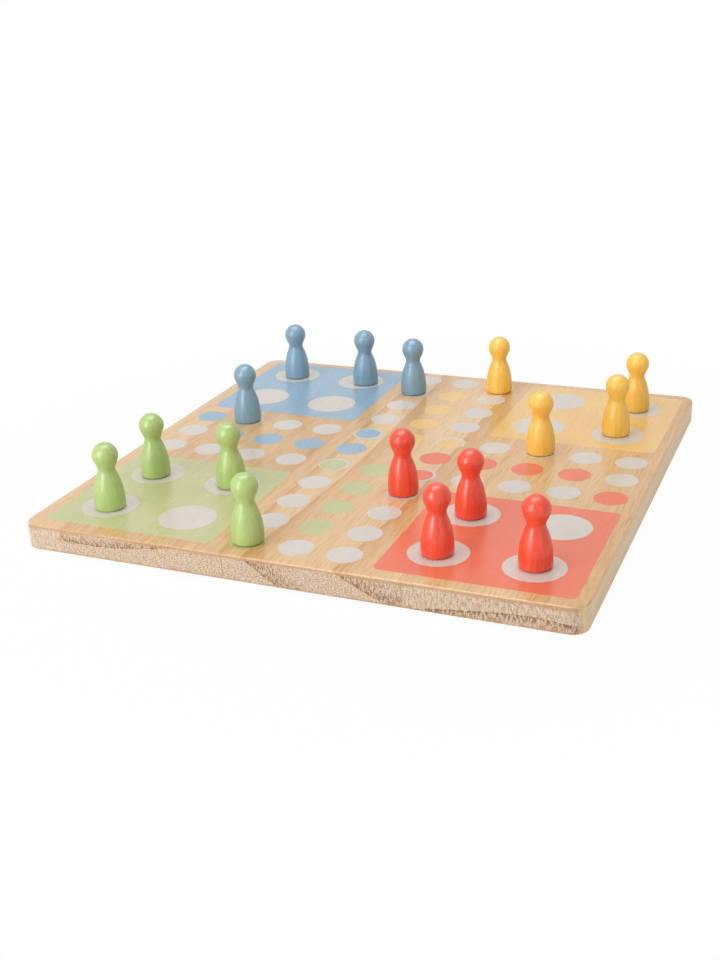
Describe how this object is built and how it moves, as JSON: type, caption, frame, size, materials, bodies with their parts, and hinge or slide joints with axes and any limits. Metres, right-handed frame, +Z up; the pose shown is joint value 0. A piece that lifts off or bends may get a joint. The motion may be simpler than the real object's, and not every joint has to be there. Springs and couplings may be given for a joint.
{
  "type": "ludo board",
  "caption": "Flat square wooden ludo board with a printed cross-shaped track and corner yards, set up with loose turned wooden pawns in matching pastel colours.",
  "frame": {"origin": "middle of the board's underside", "axes": "+Z up out of the playing face, -Y towards the front edge, +X towards the right-hand edge"},
  "size_m": [0.3, 0.3, 0.0504],
  "materials": {
    "board_wood": "satin",
    "blue_paint": "satin",
    "green_paint": "satin",
    "yellow_paint": "satin",
    "red_paint": "satin",
    "white_ink": "satin",
    "blue_ink": "satin",
    "green_ink": "satin",
    "yellow_ink": "satin",
    "red_ink": "satin"
  },
  "bodies": {
    "board": {"stave_left_strip": "board_wood", "stave_left": "board_wood", "stave_middle": "board_wood", "stave_right": "board_wood"},
    "blue_pawn_1": {"blue_pawn_1": "blue_paint"},
    "blue_pawn_2": {"blue_pawn_2": "blue_paint"},
    "blue_pawn_3": {"blue_pawn_3": "blue_paint"},
    "blue_pawn_4": {"blue_pawn_4": "blue_paint"},
    "green_pawn_1": {"green_pawn_1": "green_paint"},
    "green_pawn_2": {"green_pawn_2": "green_paint"},
    "green_pawn_3": {"green_pawn_3": "green_paint"},
    "green_pawn_4": {"green_pawn_4": "green_paint"},
    "yellow_pawn_1": {"yellow_pawn_1": "yellow_paint"},
    "yellow_pawn_2": {"yellow_pawn_2": "yellow_paint"},
    "yellow_pawn_3": {"yellow_pawn_3": "yellow_paint"},
    "yellow_pawn_4": {"yellow_pawn_4": "yellow_paint"},
    "red_pawn_1": {"red_pawn_1": "red_paint"},
    "red_pawn_2": {"red_pawn_2": "red_paint"},
    "red_pawn_3": {"red_pawn_3": "red_paint"},
    "red_pawn_4": {"red_pawn_4": "red_paint"}
  },
  "joints": [
    {"name": "blue_pawn_1_lift", "type": "slide", "parent": "board", "child": "blue_pawn_1", "axis": [0, 0, 1], "range_m": [0, 0.06]},
    {"name": "blue_pawn_2_lift", "type": "slide", "parent": "board", "child": "blue_pawn_2", "axis": [0, 0, 1], "range_m": [0, 0.06]},
    {"name": "blue_pawn_3_lift", "type": "slide", "parent": "board", "child": "blue_pawn_3", "axis": [0, 0, 1], "range_m": [0, 0.06]},
    {"name": "blue_pawn_4_lift", "type": "slide", "parent": "board", "child": "blue_pawn_4", "axis": [0, 0, 1], "range_m": [0, 0.06]},
    {"name": "green_pawn_1_lift", "type": "slide", "parent": "board", "child": "green_pawn_1", "axis": [0, 0, 1], "range_m": [0, 0.06]},
    {"name": "green_pawn_2_lift", "type": "slide", "parent": "board", "child": "green_pawn_2", "axis": [0, 0, 1], "range_m": [0, 0.06]},
    {"name": "green_pawn_3_lift", "type": "slide", "parent": "board", "child": "green_pawn_3", "axis": [0, 0, 1], "range_m": [0, 0.06]},
    {"name": "green_pawn_4_lift", "type": "slide", "parent": "board", "child": "green_pawn_4", "axis": [0, 0, 1], "range_m": [0, 0.06]},
    {"name": "yellow_pawn_1_lift", "type": "slide", "parent": "board", "child": "yellow_pawn_1", "axis": [0, 0, 1], "range_m": [0, 0.06]},
    {"name": "yellow_pawn_2_lift", "type": "slide", "parent": "board", "child": "yellow_pawn_2", "axis": [0, 0, 1], "range_m": [0, 0.06]},
    {"name": "yellow_pawn_3_lift", "type": "slide", "parent": "board", "child": "yellow_pawn_3", "axis": [0, 0, 1], "range_m": [0, 0.06]},
    {"name": "yellow_pawn_4_lift", "type": "slide", "parent": "board", "child": "yellow_pawn_4", "axis": [0, 0, 1], "range_m": [0, 0.06]},
    {"name": "red_pawn_1_lift", "type": "slide", "parent": "board", "child": "red_pawn_1", "axis": [0, 0, 1], "range_m": [0, 0.06]},
    {"name": "red_pawn_2_lift", "type": "slide", "parent": "board", "child": "red_pawn_2", "axis": [0, 0, 1], "range_m": [0, 0.06]},
    {"name": "red_pawn_3_lift", "type": "slide", "parent": "board", "child": "red_pawn_3", "axis": [0, 0, 1], "range_m": [0, 0.06]},
    {"name": "red_pawn_4_lift", "type": "slide", "parent": "board", "child": "red_pawn_4", "axis": [0, 0, 1], "range_m": [0, 0.06]}
  ]
}
